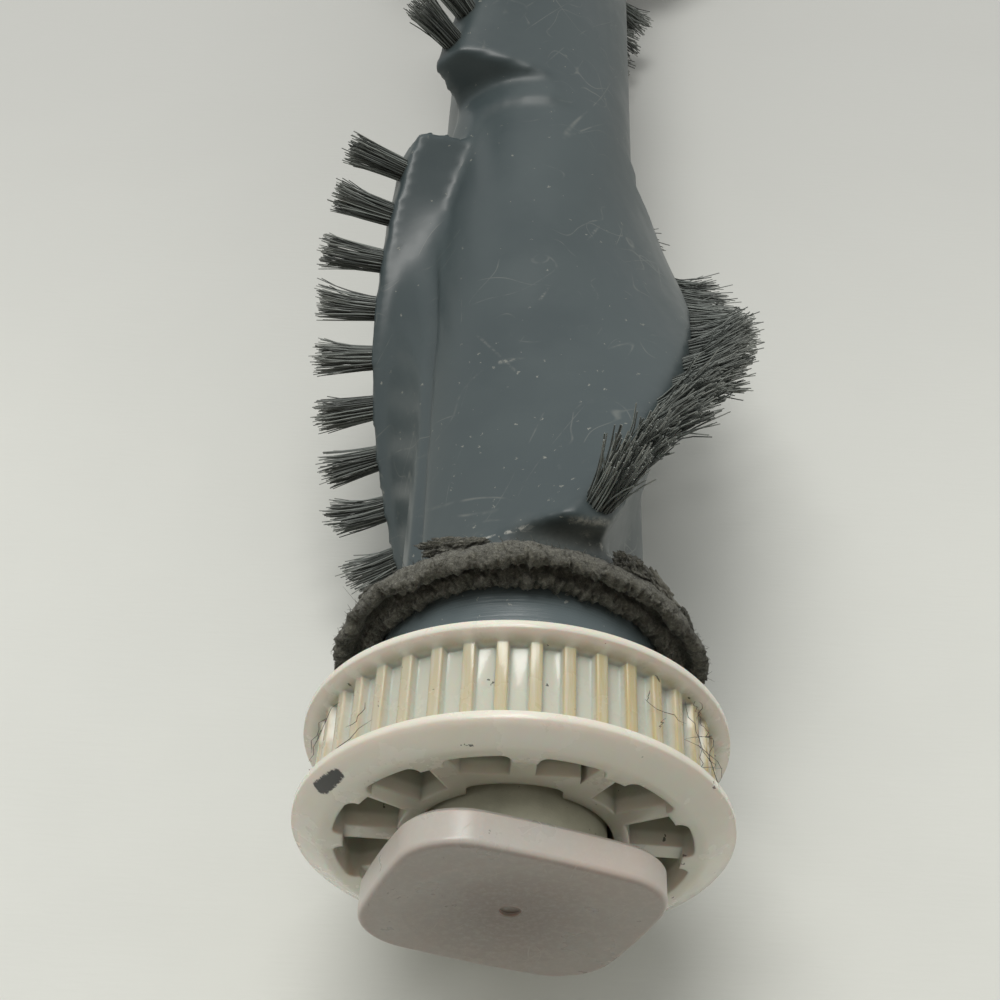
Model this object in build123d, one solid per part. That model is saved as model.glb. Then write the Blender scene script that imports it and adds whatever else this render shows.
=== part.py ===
from build123d import *
import os
from math import asin, atan, cos, degrees, pi, radians, sin

# Roller brush of a vacuum cleaner head. Millimetres, +Z up.
# The roller lies along Y with its belt end at -Y, and the origin is on its axis at mid length.
# Every piece is first made with the axis along z and the belt end at +z, then laid down by lay_down().
# Angles about the axis are in degrees from +X towards +Z, seen from the belt end.

# Ribbed barrel
core_radius = 12.6          # round waist between the two ribs
crest_radius = 19.0         # flat top of a rib, where the tufts are set
crest_width = 4.4
fin_draft = 0.6             # how much wider a rib is at the foot of its steep flank
ramp_angle = 75.0           # from the middle of a rib on to where its smooth ramp leaves the waist
segment_length = 68.0       # length of a rib between two notches
notch_width = 12.5          # gap in the rib at its crest
notch_floor_width = 9.0
notch_floor_radius = 13.2
rib_start_angle = 252.0     # first rib at the belt end of the ribbed length
outer_twist_angle = 115.0   # turn of a rib from the end of the ribbed length to the first notch
centre_twist_angle = 38.0   # turn of a rib from a notch to the middle of the barrel

# Webs that fill the space behind the outer ribs, up to where the two halves of the mould parted
parting_angle = 146.5       # line on the barrel where a web ends, at the end of the ribbed length
parting_turn = 13.5         # how far that line turns over the length of a rib
parting_step = 0.3          # height of a web over the waist at that line
web_edge_radius = 18.5
web_edge_angle = 4.0        # from the middle of a rib back to the web's edge
web_length = 52.0
web_sections = 7
groove_depth = 1.0          # along the parting line
groove_side_angle = 2.5     # from the line to the bottom of the groove
groove_angle = 15.0         # from the line to the top of the groove's gentle side
groove_reach = 2.5          # how far that top is over the waist
groove_length = 42.0

# Ends of the barrel
neck_radius = 14.0
neck_chamfer = 0.6
belt_neck_length = 12.2
idle_neck_length = 11.0
collar_radius = 15.3
collar_length = 2.4
collar_chamfer = 0.5

# Tufts and their anchors
tuft_count = 12             # tufts in one rib of one stretch
tuft_pitch = 5.6
first_tuft_inset = 2.5      # from the end of the ribbed length to the first tuft
tuft_hole_radius = 1.6
tuft_seat_depth = 4.5       # how deep a tuft stands in its hole
tuft_tip_radius = 26.3
tuft_tip_spread = 2.1       # half width of a tuft at its tip
tuft_sides = 8
tuft_clearance = 0.05
anchor_height = 1.5
anchor_width = 2.7
anchor_thickness = 0.5

# Belt pulley
tooth_count = 40
tooth_pitch = 3.0
pitch_line_offset = 0.4     # belt pitch line above the tooth tips
tooth_depth = 0.9
tooth_gap_tip_width = 1.95
tooth_gap_root_width = 1.5
tooth_face_width = 7.6
flange_height = 1.5         # above the tooth tips
flange_rim_width = 0.7
flange_inner_slope = 0.4
flange_outer_slope = 1.3
flange_shoulder = 2.6       # radial width of the sloping outer side of a flange
pulley_wall = 1.4           # from the roots of the teeth in to the pockets
pocket_count = 12
pocket_depth = 7.0
pocket_corner_radius = 0.9
web_rib_thickness = 2.2
lobe_height = 1.0           # what is left of the rim over each web rib
recess_depth = 1.0
web_rib_angle = 87.0        # direction of one web rib
hub_bore_radius = 9.2
hub_wall = 1.4
keyway_width = 8.4
keyway_draft = 1.2          # how much narrower the keyway is at its roof, on each side
keyway_depth = 1.1
key_angle = 90.0
key_length = 5.5
pulley_fit = 0.05

# Shaft and bearings, the same at both ends
shaft_radius = 3.0
shaft_fit = 0.05
seat_depth = 3.9            # from the roller's end face in to the bearing seat
washer_radius = 6.2
washer_thickness = 0.8
bush_radius = 5.0
bush_length = 5.4
bush_fit = 0.02
running_fit = 0.05
end_play = 0.1
holder_radius = 8.6
holder_end_gap = 0.2        # from the thrust washer to the holder
clip_radius = 4.4
clip_thickness = 0.6
clip_mouth = 3.4
clip_groove_depth = 0.5
clip_fit = 0.05
shaft_overhang = 0.8        # shaft beyond the clip

# Felt seals
felt_outer_radius = 18.4
felt_root_radius = 16.9
felt_thickness = 4.8
felt_lip = 1.2
felt_fit = 0.05

# End caps
cap_gap = 2.6               # from the roller's end face to the cap
cap_thickness = 3.6
cap_width = 25.0
cap_height = 22.0
cap_bow = 0.7               # how far each side bulges
cap_corner_radius = 6.0
cap_front_radius = 0.6
cap_back_chamfer = 0.5
cap_face_wall = 1.4
cap_dish_radius = 9.6
cap_dish_depth = 0.4
cap_angle = -21.0
cap_fit = 0.05
gate_mark_radius = 1.0
gate_mark_depth = 0.35

cut_margin = 1.0            # how far a cutting tool runs past the face it enters

# Sizes that follow from the ones above
ribbed_length = 3 * segment_length + 2 * notch_width
outer_stretch = segment_length + notch_width / 2
centre_half = segment_length / 2 + notch_width / 2
tip_radius = tooth_count * tooth_pitch / (2 * pi) - pitch_line_offset
root_radius = tip_radius - tooth_depth
tuft_floor = crest_radius - tuft_seat_depth
hole_floor = tuft_floor - anchor_height
flange_radius = tip_radius + flange_height
flange_width = flange_inner_slope + flange_rim_width + flange_outer_slope
pulley_width = tooth_face_width + 2 * flange_width
end_reach = cap_gap + cap_thickness
roller_length = pulley_width + belt_neck_length + ribbed_length + idle_neck_length
overall_length = roller_length + 2 * end_reach

# Stations along z
belt_face = overall_length / 2 - end_reach
pulley_back = belt_face - pulley_width
rib_start = pulley_back - belt_neck_length
rib_middle = rib_start - ribbed_length / 2
rib_end = rib_start - ribbed_length
idle_face = rib_end - idle_neck_length
belt_seat = belt_face - seat_depth
idle_seat = idle_face + seat_depth

# Stack of each bearing, measured outwards from its seat
bush_start = washer_thickness + end_play
clip_start = bush_start + bush_length + end_play
shaft_end = clip_start + clip_thickness + shaft_overhang
holder_start = washer_thickness + holder_end_gap
cap_back = seat_depth + cap_gap
pocket_floor = cap_back + cap_thickness - cap_face_wall


def ring(*points):
    """Solid of revolution about z from (radius, height) corners."""
    outline = Polyline(*[(radius, 0, height) for radius, height in points], close=True)
    return revolve(make_face(outline), Axis.Z)


def tube(outer, inner, low, high):
    """Plain tube about z between two heights."""
    return ring((inner, low), (outer, low), (outer, high), (inner, high))


def rod(radius, low, high):
    """Plain rod about z between two heights."""
    return Pos(0, 0, low) * Cylinder(radius, high - low, align=(Align.CENTER, Align.CENTER, Align.MIN))


def polar(radius, angle):
    """Point at a radius and an angle about the axis."""
    return Vector(radius * cos(radians(angle)), radius * sin(radians(angle)))


def rib_angle(height):
    """Direction of the first rib at a height: a helix that turns back at the middle of the barrel."""
    travel = ribbed_length / 2 - abs(height - rib_middle)
    outer = min(travel, outer_stretch)
    outer_turn = outer_twist_angle * outer / outer_stretch
    centre_turn = centre_twist_angle * (travel - outer) / centre_half
    return rib_start_angle - outer_turn - centre_turn


def half_section(turn):
    """One half of the barrel's outline: crest, smooth ramp, waist, and the other rib's steep flank."""
    lead = Vector(crest_radius, crest_width / 2)
    trail = Vector(crest_radius, -crest_width / 2)
    waist = polar(core_radius, ramp_angle)
    waist_heading = Vector(sin(radians(ramp_angle)), -cos(radians(ramp_angle)))
    foot_angle = degrees(asin((crest_width / 2 + fin_draft) / core_radius))
    edges = [
        Line(trail, lead),
        TangentArc(waist, lead, tangent=waist_heading),
        CenterArc((0, 0), core_radius, ramp_angle, 180 - foot_angle - ramp_angle),
        Line(polar(core_radius, 180 - foot_angle), -trail),
    ]
    return [Rot(0, 0, turn) * edge for edge in edges]


def twisted(section, height, length, turn):
    """Barrel section drawn from a height towards the idle end with a steady twist."""
    placed = (Pos(0, 0, height) * Rot(0, 0, rib_angle(height)) * section).face()
    return Solid.extrude_linear_with_rotation(placed, (0, 0, height), (0, 0, -length), turn)


def flank_web():
    """Wall behind the first rib of the belt stretch: from just under its crest to the parting line."""
    outlines = []
    for step in range(web_sections):
        reach = web_length * step / (web_sections - 1)
        height = rib_start - reach
        line = polar(core_radius + parting_step, parting_angle + parting_turn * reach / segment_length)
        edge = polar(web_edge_radius, rib_angle(height) - web_edge_angle)
        outlines.append(Pos(0, 0, height) * make_face(Polyline((0, 0), line, edge, close=True)))
    return loft(outlines)


def parting_groove():
    """Cutting tool for the shallow groove along the parting line, steep on the waist's side."""
    brim = core_radius + groove_reach
    outline = Polygon(
        polar(brim, parting_angle), polar(core_radius - groove_depth, parting_angle + groove_side_angle),
        polar(brim, parting_angle + groove_angle), align=None,
    )
    placed = (Pos(0, 0, rib_start) * outline).face()
    run = (0, 0, -groove_length)
    turn = -parting_turn * groove_length / segment_length
    return Solid.extrude_linear_with_rotation(placed, (0, 0, rib_start), run, turn)


def tuft_heights():
    """Heights of the tufts in the three stretches of a rib, belt end first."""
    belt = [rib_start - first_tuft_inset - step * tuft_pitch for step in range(tuft_count)]
    centre = [rib_middle + (step - (tuft_count - 1) / 2) * tuft_pitch for step in range(tuft_count)]
    idle = [2 * rib_middle - height for height in belt]
    return {"belt": belt, "centre": centre, "idle": idle}


def tuft_places(heights, turn):
    """Where the tufts of one stretch stand, each pointing along its own x."""
    return [Pos(0, 0, height) * Rot(0, 0, rib_angle(height) + turn) for height in heights]


def radial(shape, radius):
    """Turn a piece made along z to lie along x, with its foot at a radius."""
    return Pos(radius, 0, 0) * Rot(0, 90, 0) * shape


def tuft_hole():
    """Blind hole that takes one tuft and its anchor, with as many sides as the tuft."""
    outline = RegularPolygon(tuft_hole_radius, tuft_sides)
    return radial(extrude(outline, tuft_tip_radius - hole_floor), hole_floor)


def tuft():
    """One bundle of bristles: straight in its hole, then flaring to its tip."""
    root_spread = tuft_hole_radius - tuft_clearance
    free_length = tuft_tip_radius - crest_radius
    flare = degrees(atan((tuft_tip_spread - root_spread) * cos(pi / tuft_sides) / free_length))
    outline = RegularPolygon(root_spread, tuft_sides)
    seated = extrude(outline, tuft_seat_depth)
    free = extrude(Pos(0, 0, tuft_seat_depth) * outline, free_length, taper=-flare)
    return radial(seated + free, tuft_floor)


def anchor():
    """Flat wire plate at the bottom of a hole, under its tuft."""
    upright = (Align.CENTER, Align.CENTER, Align.MIN)
    return radial(Box(anchor_thickness, anchor_width, anchor_height, align=upright), hole_floor)


def key_outline(clearance):
    """Outline of the spigot's key, or of the keyway at no clearance: round on top with sloping sides."""
    foot = keyway_width / 2 - clearance
    roof = foot - keyway_draft
    sides = Polygon((0, -foot), (hub_bore_radius, -foot), (hub_bore_radius + keyway_depth, -roof),
                    (hub_bore_radius + keyway_depth, roof), (hub_bore_radius, foot), (0, foot), align=None)
    return Rot(0, 0, key_angle) * (sides & Circle(hub_bore_radius + keyway_depth - clearance))


def roller_barrel():
    """Moulded barrel: ribbed length, two necks with collars, keyed spigot, tuft holes and shaft bore."""
    outer_section = make_face(half_section(0) + half_section(180))
    centre_section = mirror(outer_section, about=Plane.XZ)
    web = flank_web()
    belt_side = [
        twisted(outer_section, rib_start, outer_stretch, outer_twist_angle),
        twisted(centre_section, rib_start - outer_stretch, centre_half, centre_twist_angle),
        web,
        Rot(0, 0, 180) * web,
    ]
    middle_plane = Plane.XY.offset(rib_middle)
    idle_side = [mirror(piece, about=middle_plane) for piece in belt_side]
    belt_neck = ring(
        (0, rib_start), (collar_radius, rib_start),
        (collar_radius, rib_start + collar_length - collar_chamfer),
        (collar_radius - collar_chamfer, rib_start + collar_length),
        (neck_radius, rib_start + collar_length),
        (neck_radius, pulley_back), (hub_bore_radius - pulley_fit, pulley_back),
        (hub_bore_radius - pulley_fit, belt_seat), (0, belt_seat),
    )
    idle_neck = ring(
        (0, rib_end), (collar_radius, rib_end),
        (collar_radius, rib_end - collar_length + collar_chamfer),
        (collar_radius - collar_chamfer, rib_end - collar_length),
        (neck_radius, rib_end - collar_length),
        (neck_radius, idle_face + neck_chamfer), (neck_radius - neck_chamfer, idle_face),
        (hub_bore_radius, idle_face), (hub_bore_radius, idle_seat), (0, idle_seat),
    )
    key = Pos(0, 0, pulley_back) * extrude(key_outline(pulley_fit), key_length)
    blank = belt_side[0].fuse(*belt_side[1:], *idle_side, belt_neck, idle_neck, key)

    floor_half = notch_floor_width / 2
    slope = (notch_width / 2 - floor_half) / (crest_radius - notch_floor_radius)
    brim = crest_radius + cut_margin
    brim_half = floor_half + slope * (brim - notch_floor_radius)
    notch = ring(
        (notch_floor_radius, -floor_half), (brim, -brim_half),
        (brim, brim_half), (notch_floor_radius, floor_half),
    )
    notches = [Pos(0, 0, rib_middle + side * centre_half) * notch for side in (1, -1)]
    groove = parting_groove()
    belt_grooves = [groove, Rot(0, 0, 180) * groove]
    idle_grooves = [mirror(tool, about=middle_plane) for tool in belt_grooves]
    hole = tuft_hole()
    holes = [
        place * hole
        for heights in tuft_heights().values()
        for turn in (0, 180)
        for place in tuft_places(heights, turn)
    ]
    bore = rod(shaft_radius + shaft_fit, idle_face - cut_margin, belt_face + cut_margin)
    return blank.cut(*notches, *belt_grooves, *idle_grooves, *holes, bore)


def shaft():
    """Steel shaft with a clip groove near each end."""
    groove = shaft_radius - clip_groove_depth
    clip_groove = tube(shaft_radius + cut_margin, groove, clip_start, clip_start + clip_thickness)
    blank = rod(shaft_radius, idle_seat - shaft_end, belt_seat + shaft_end)
    return blank - at_belt_end(clip_groove) - at_idle_end(clip_groove)


def belt_pulley():
    """Toothed pulley with two flanges, a cored front and a keyed hub."""
    back_rim = flange_outer_slope
    back_face = back_rim + flange_rim_width + flange_inner_slope
    front_face = back_face + tooth_face_width
    front_rim = front_face + flange_inner_slope
    shoulder_radius = flange_radius - flange_shoulder
    blank = ring(
        (hub_bore_radius, 0), (shoulder_radius, 0), (flange_radius, back_rim),
        (flange_radius, back_rim + flange_rim_width), (tip_radius, back_face),
        (tip_radius, front_face), (flange_radius, front_rim),
        (flange_radius, front_rim + flange_rim_width), (shoulder_radius, pulley_width),
        (hub_bore_radius, pulley_width),
    )
    groove = Polygon(
        (root_radius, -tooth_gap_root_width / 2), (tip_radius, -tooth_gap_tip_width / 2),
        (flange_radius, -tooth_gap_tip_width / 2), (flange_radius, tooth_gap_tip_width / 2),
        (tip_radius, tooth_gap_tip_width / 2), (root_radius, tooth_gap_root_width / 2),
        align=None,
    )
    groove_tool = Pos(0, 0, back_face) * extrude(groove, tooth_face_width)
    grooves = [Rot(0, 0, step * 360 / tooth_count) * groove_tool for step in range(tooth_count)]

    pocket_radius = root_radius - pulley_wall
    hub_radius = hub_bore_radius + hub_wall
    keyway_radius = hub_bore_radius + keyway_depth
    boss_radius = keyway_radius + hub_wall
    boss_width = keyway_width + 2 * hub_wall
    web_rib = Rectangle(pocket_radius + cut_margin, web_rib_thickness, align=(Align.MIN, Align.CENTER))
    boss = Rectangle(boss_radius, boss_width, align=(Align.MIN, Align.CENTER))
    pockets = Circle(pocket_radius) - Circle(hub_radius) - Rot(0, 0, key_angle) * boss
    for step in range(pocket_count):
        pockets -= Rot(0, 0, web_rib_angle + step * 360 / pocket_count) * web_rib
    middle_radius = (pocket_radius + boss_radius) / 2
    rim_corners = [corner for corner in pockets.vertices() if Vector(corner).length > middle_radius]
    pockets = fillet(rim_corners, pocket_corner_radius)
    pocket_tool = Pos(0, 0, pulley_width - pocket_depth) * extrude(pockets, pocket_depth + cut_margin)
    recess = rod(pocket_radius - lobe_height, pulley_width - recess_depth, pulley_width + cut_margin)
    keyway = extrude(key_outline(0), pulley_width + cut_margin)
    pulley = blank - grooves - recess - pocket_tool - keyway
    return Pos(0, 0, pulley_back) * pulley


def felt_seal():
    """Felt ring that flares away from the collar it seats on, made with the collar at z = 0."""
    inner = neck_radius + felt_fit
    return ring(
        (inner, 0), (felt_root_radius, 0), (felt_outer_radius, felt_thickness - felt_lip),
        (felt_outer_radius - felt_lip, felt_thickness), (inner, felt_thickness - felt_lip),
    )


def thrust_washer():
    """Washer on the shaft between the roller and the bush, made with the bearing seat at z = 0."""
    return tube(washer_radius, shaft_radius + shaft_fit, 0, washer_thickness)


def bearing_bush():
    """Sintered bush that the shaft turns in."""
    return tube(bush_radius - bush_fit, shaft_radius + running_fit, bush_start, bush_start + bush_length)


def bearing_holder():
    """Sleeve that carries the bush and stands in the end cap."""
    return tube(holder_radius, bush_radius, holder_start, pocket_floor)


def retaining_clip():
    """Open ring in the shaft's groove, which keeps the bush on the shaft."""
    inner = shaft_radius - clip_groove_depth + clip_fit
    closed = tube(clip_radius, inner, clip_start, clip_start + clip_thickness)
    from_axis = (Align.MIN, Align.CENTER, Align.MIN)
    mouth = Box(clip_radius, clip_mouth, clip_start + 2 * clip_thickness, align=from_axis)
    return closed - mouth


def end_cap():
    """Rounded block with bowed sides and a dished face, pressed over the bearing holder."""
    half_width = cap_width / 2 - cap_bow
    half_height = cap_height / 2 - cap_bow
    corners = [
        (half_width, half_height), (-half_width, half_height),
        (-half_width, -half_height), (half_width, -half_height),
    ]
    bulges = [(0, cap_height / 2), (-cap_width / 2, 0), (0, -cap_height / 2), (cap_width / 2, 0)]
    sides = [
        ThreePointArc(corners[side], bulges[side], corners[(side + 1) % 4])
        for side in range(4)
    ]
    outline = make_face(sides)
    outline = fillet(outline.vertices(), cap_corner_radius)
    block = extrude(outline, cap_thickness)
    block = fillet(block.faces().sort_by(Axis.Z)[-1].edges(), cap_front_radius)
    block = chamfer(block.faces().sort_by(Axis.Z)[0].edges(), cap_back_chamfer)
    ball_radius = (cap_dish_radius ** 2 + cap_dish_depth ** 2) / (2 * cap_dish_depth)
    dish = Pos(0, 0, cap_thickness - cap_dish_depth + ball_radius) * Sphere(ball_radius)
    dish_floor = cap_thickness - cap_dish_depth
    gate = rod(gate_mark_radius, dish_floor - gate_mark_depth, cap_thickness + cut_margin)
    pocket = rod(holder_radius + cap_fit, -cut_margin, cap_thickness - cap_face_wall)
    block = block - dish - gate - pocket
    return Pos(0, 0, cap_back) * Rot(0, 0, cap_angle) * block


def lay_down(shape):
    """Turn a piece from its making position, axis along z, to lie along Y with the belt end at -Y."""
    return Rot(90, 0, 0) * shape


def at_belt_end(shape):
    """Place a bearing piece, made outwards from its seat, at the belt end."""
    return Pos(0, 0, belt_seat) * shape


def at_idle_end(shape):
    """Place a bearing piece, made outwards from its seat, at the idle end."""
    return Pos(0, 0, idle_seat) * Rot(180, 0, 0) * shape


def nodes():
    """Every piece of the roller by its name, in its making position."""
    pieces = {
        "roller_barrel": roller_barrel(),
        "shaft": shaft(),
        "belt_pulley": belt_pulley(),
        "belt_felt_seal": Pos(0, 0, rib_start + collar_length) * felt_seal(),
        "idle_felt_seal": Pos(0, 0, rib_end - collar_length) * Rot(180, 0, 0) * felt_seal(),
    }
    bundle = tuft()
    plate = anchor()
    for stretch, heights in tuft_heights().items():
        for rib, turn in (("a", 0), ("b", 180)):
            places = tuft_places(heights, turn)
            pieces[f"bristles_{stretch}_{rib}"] = Compound([place * bundle for place in places])
            pieces[f"anchors_{stretch}_{rib}"] = Compound([place * plate for place in places])
    bearing = {
        "thrust_washer": thrust_washer(),
        "bearing_bush": bearing_bush(),
        "bearing_holder": bearing_holder(),
        "retaining_clip": retaining_clip(),
        "end_cap": end_cap(),
    }
    for name, shape in bearing.items():
        pieces[f"belt_{name}"] = at_belt_end(shape)
        pieces[f"idle_{name}"] = at_idle_end(shape)
    return pieces


os.makedirs("parts", exist_ok=True)
for node_name, node_shape in nodes().items():
    export_step(lay_down(node_shape), f"parts/{node_name}.step")
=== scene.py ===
"""Looks of a vacuum cleaner's roller brush: filaments, felt, finishes, floor, light and camera."""
import logging
import math
import random
from dataclasses import dataclass
from enum import Enum
from typing import Any, Iterator, Optional

import bmesh
import bpy
from mathutils import Matrix, Vector, noise


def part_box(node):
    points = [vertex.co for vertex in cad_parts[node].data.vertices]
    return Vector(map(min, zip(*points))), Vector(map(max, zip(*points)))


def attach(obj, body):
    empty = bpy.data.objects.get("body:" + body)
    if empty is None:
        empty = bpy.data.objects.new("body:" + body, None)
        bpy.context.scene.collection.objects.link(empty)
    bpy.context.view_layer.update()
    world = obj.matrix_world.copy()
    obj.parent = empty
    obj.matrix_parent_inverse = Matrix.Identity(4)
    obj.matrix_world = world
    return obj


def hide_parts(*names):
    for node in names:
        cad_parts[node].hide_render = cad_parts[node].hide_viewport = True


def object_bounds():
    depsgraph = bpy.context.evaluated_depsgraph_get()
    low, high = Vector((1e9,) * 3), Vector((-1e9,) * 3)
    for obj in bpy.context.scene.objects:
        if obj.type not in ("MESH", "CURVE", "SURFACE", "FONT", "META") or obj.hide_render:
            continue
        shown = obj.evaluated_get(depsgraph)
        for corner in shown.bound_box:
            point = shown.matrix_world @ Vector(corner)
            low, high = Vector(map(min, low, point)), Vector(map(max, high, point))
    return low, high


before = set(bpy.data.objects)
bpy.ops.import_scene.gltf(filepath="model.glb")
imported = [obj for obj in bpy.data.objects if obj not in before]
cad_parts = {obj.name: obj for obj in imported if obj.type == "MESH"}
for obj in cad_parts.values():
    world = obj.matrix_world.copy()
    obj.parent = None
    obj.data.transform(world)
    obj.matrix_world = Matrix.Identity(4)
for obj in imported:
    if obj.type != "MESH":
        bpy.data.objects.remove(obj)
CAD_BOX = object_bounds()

LOG = logging.getLogger("roller_brush")
MM = 0.001
MERGE = 1e-6
Colour = tuple[float, float, float]
Point = tuple[float, float, float]
Socket = bpy.types.NodeSocket


class Body(Enum):
    """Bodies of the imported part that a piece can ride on."""

    ROLLER = "roller"
    BELT_BLOCK = "belt_end_block"
    IDLE_BLOCK = "idle_end_block"


class Stretch(Enum):
    """Stretches of the barrel between two notches."""

    BELT = "belt"
    CENTRE = "centre"
    IDLE = "idle"


class Rib(Enum):
    """The two ribs of the barrel."""

    A = "a"
    B = "b"


class RollerEnd(Enum):
    """Ends of the roller, with the direction along Y that leads out of each."""

    BELT = -1
    IDLE = 1


def linear(colour: Colour) -> tuple[float, float, float, float]:
    """Colour with the alpha that a socket wants."""
    return (*colour, 1.0)


def new_object(name: str, mesh: bpy.types.Mesh, finish: bpy.types.Material) -> bpy.types.Object:
    """Link a finished mesh to the scene with smooth faces and one material.

    Args:
        name: Name of the piece.
        mesh: Mesh that already holds its place.
        finish: Material of the whole piece.

    Returns:
        The new object, at the origin.
    """
    mesh.materials.clear()
    mesh.materials.append(finish)
    mesh.shade_smooth()
    made = bpy.data.objects.new(name, mesh)
    bpy.context.scene.collection.objects.link(made)
    return made


def mesh_from(bm: bmesh.types.BMesh, name: str) -> bpy.types.Mesh:
    """Turn a bmesh into a mesh and free it."""
    mesh = bpy.data.meshes.new(name)
    bm.to_mesh(mesh)
    bm.free()
    return mesh


@dataclass
class Thread:
    """One thin strand: the points it passes and its thickness at each of them."""

    points: list[Vector]
    shares: list[float]


def threads_mesh(name: str, threads: list[Thread], radius: float) -> bpy.types.Mesh:
    """Make one mesh from many strands.

    Args:
        name: Name of the mesh.
        threads: Strands in metres.
        radius: Radius of a strand where its share is 1.

    Returns:
        A mesh of thin four-sided tubes with closed ends.
    """
    curve = bpy.data.curves.new(name, "CURVE")
    curve.dimensions = "3D"
    curve.bevel_depth = radius
    curve.bevel_resolution = 0
    curve.use_fill_caps = True
    for thread in threads:
        spline = curve.splines.new("POLY")
        spline.points.add(len(thread.points) - 1)
        for knot, point, share in zip(spline.points, thread.points, thread.shares):
            knot.co = (*point, 1.0)
            knot.radius = share
    holder = bpy.data.objects.new(name, curve)
    bpy.context.scene.collection.objects.link(holder)
    graph = bpy.context.evaluated_depsgraph_get()
    mesh = bpy.data.meshes.new_from_object(holder.evaluated_get(graph))
    bpy.data.objects.remove(holder)
    bpy.data.curves.remove(curve)
    mesh.name = name
    return mesh


def around(angle: float, radius: float, y: float) -> Vector:
    """Point at an angle about the roller's axis, from +X towards +Z."""
    return Vector((radius * math.cos(angle), y, radius * math.sin(angle)))


def off_axis(point: Vector) -> float:
    """Distance of a point from the roller's axis."""
    return math.hypot(point.x, point.z)


def scatter(luck: random.Random, spread: float) -> Vector:
    """Random step with the same spread along each axis."""
    return Vector((luck.gauss(0, spread), luck.gauss(0, spread), luck.gauss(0, spread)))


def joined_copy(node: str) -> bmesh.types.BMesh:
    """Copy of a CAD node's mesh with its loose triangles joined."""
    bm = bmesh.new()
    bm.from_mesh(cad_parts[node].data)
    bmesh.ops.remove_doubles(bm, verts=bm.verts, dist=MERGE)
    return bm


def smooth(bm: bmesh.types.BMesh, verts: Any) -> None:
    """Move vertices half way to the middle of their neighbours."""
    bmesh.ops.smooth_vert(bm, verts=verts, factor=0.5, use_axis_x=True, use_axis_y=True, use_axis_z=True)


class Shading:
    """Short ways to lay and join nodes in one shader tree."""

    def __init__(self, tree: bpy.types.NodeTree) -> None:
        """Work in one tree."""
        self.tree = tree

    def node(self, kind: str, inputs: Optional[dict[Any, Any]] = None, **settings: Any) -> bpy.types.Node:
        """Add a node.

        Args:
            kind: Node type without its ShaderNode prefix.
            inputs: Values or sockets for the node's inputs, by name or number.
            **settings: Properties of the node.

        Returns:
            The new node.
        """
        made = self.tree.nodes.new("ShaderNode" + kind)
        for key, value in settings.items():
            setattr(made, key, value)
        for key, value in (inputs or {}).items():
            if isinstance(value, bpy.types.NodeSocket):
                self.tree.links.new(value, made.inputs[key])
            else:
                made.inputs[key].default_value = value
        return made

    def math(self, operation: str, *values: Any, clamp: bool = False) -> Socket:
        """Result of one Math node."""
        made = self.node("Math", dict(enumerate(values)), operation=operation, use_clamp=clamp)
        return made.outputs[0]

    def vector(self, operation: str, *values: Any) -> bpy.types.Node:
        """One Vector Math node."""
        return self.node("VectorMath", dict(enumerate(values)), operation=operation)

    def scaled(self, place: Socket, share: Any) -> Socket:
        """Place multiplied by one number."""
        return self.node("VectorMath", {0: place, "Scale": share}, operation="SCALE").outputs[0]

    def stretched(self, place: Socket, shares: Point, turn: Point = (0.0, 0.0, 0.0)) -> Socket:
        """Place turned and then scaled along each axis."""
        turned = self.node("Mapping", {"Vector": place, "Rotation": turn})
        return self.vector("MULTIPLY", turned.outputs[0], shares).outputs[0]

    def noise(self, place: Socket, scale: Any = 1.0, detail: float = 3.0, roughness: float = 0.55) -> Socket:
        """Value of a noise texture."""
        inputs = {"Vector": place, "Scale": scale, "Detail": detail, "Roughness": roughness}
        return self.node("TexNoise", inputs).outputs[0]

    def span(self, value: Any, low: Any, high: Any, start: Any = 0.0, end: Any = 1.0) -> Socket:
        """Value eased from start to end while it goes from low to high."""
        inputs = {"Value": value, "From Min": low, "From Max": high, "To Min": start, "To Max": end}
        return self.node("MapRange", inputs, interpolation_type="SMOOTHSTEP").outputs[0]

    def band(self, value: Any, low: float, high: float, soft: float) -> Socket:
        """Mask that is 1 while a value is between two limits."""
        rise = self.span(value, low - soft, low + soft)
        fall = self.span(value, high - soft, high + soft, 1.0, 0.0)
        return self.math("MULTIPLY", rise, fall)

    def blend(self, share: Any, base: Any, top: Any) -> Socket:
        """Colour between two colours."""
        base = linear(base) if isinstance(base, tuple) else base
        top = linear(top) if isinstance(top, tuple) else top
        return self.node("Mix", {0: share, 6: base, 7: top}, data_type="RGBA").outputs[2]

    def over(self, colour: Any, top: Colour, mask: Any, strength: Any) -> Socket:
        """Colour with another laid over it by a mask, at a given strength."""
        return self.blend(self.math("MULTIPLY", mask, strength), colour, top)

    def effect(self, group: bpy.types.NodeTree, **inputs: Any) -> Socket:
        """First output of a shared effect placed in this tree."""
        made = self.tree.nodes.new("ShaderNodeGroup")
        made.node_tree = group
        for key, value in inputs.items():
            name = key.replace("_", " ").capitalize()
            if isinstance(value, bpy.types.NodeSocket):
                self.tree.links.new(value, made.inputs[name])
            else:
                made.inputs[name].default_value = value
        return made.outputs[0]


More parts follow.
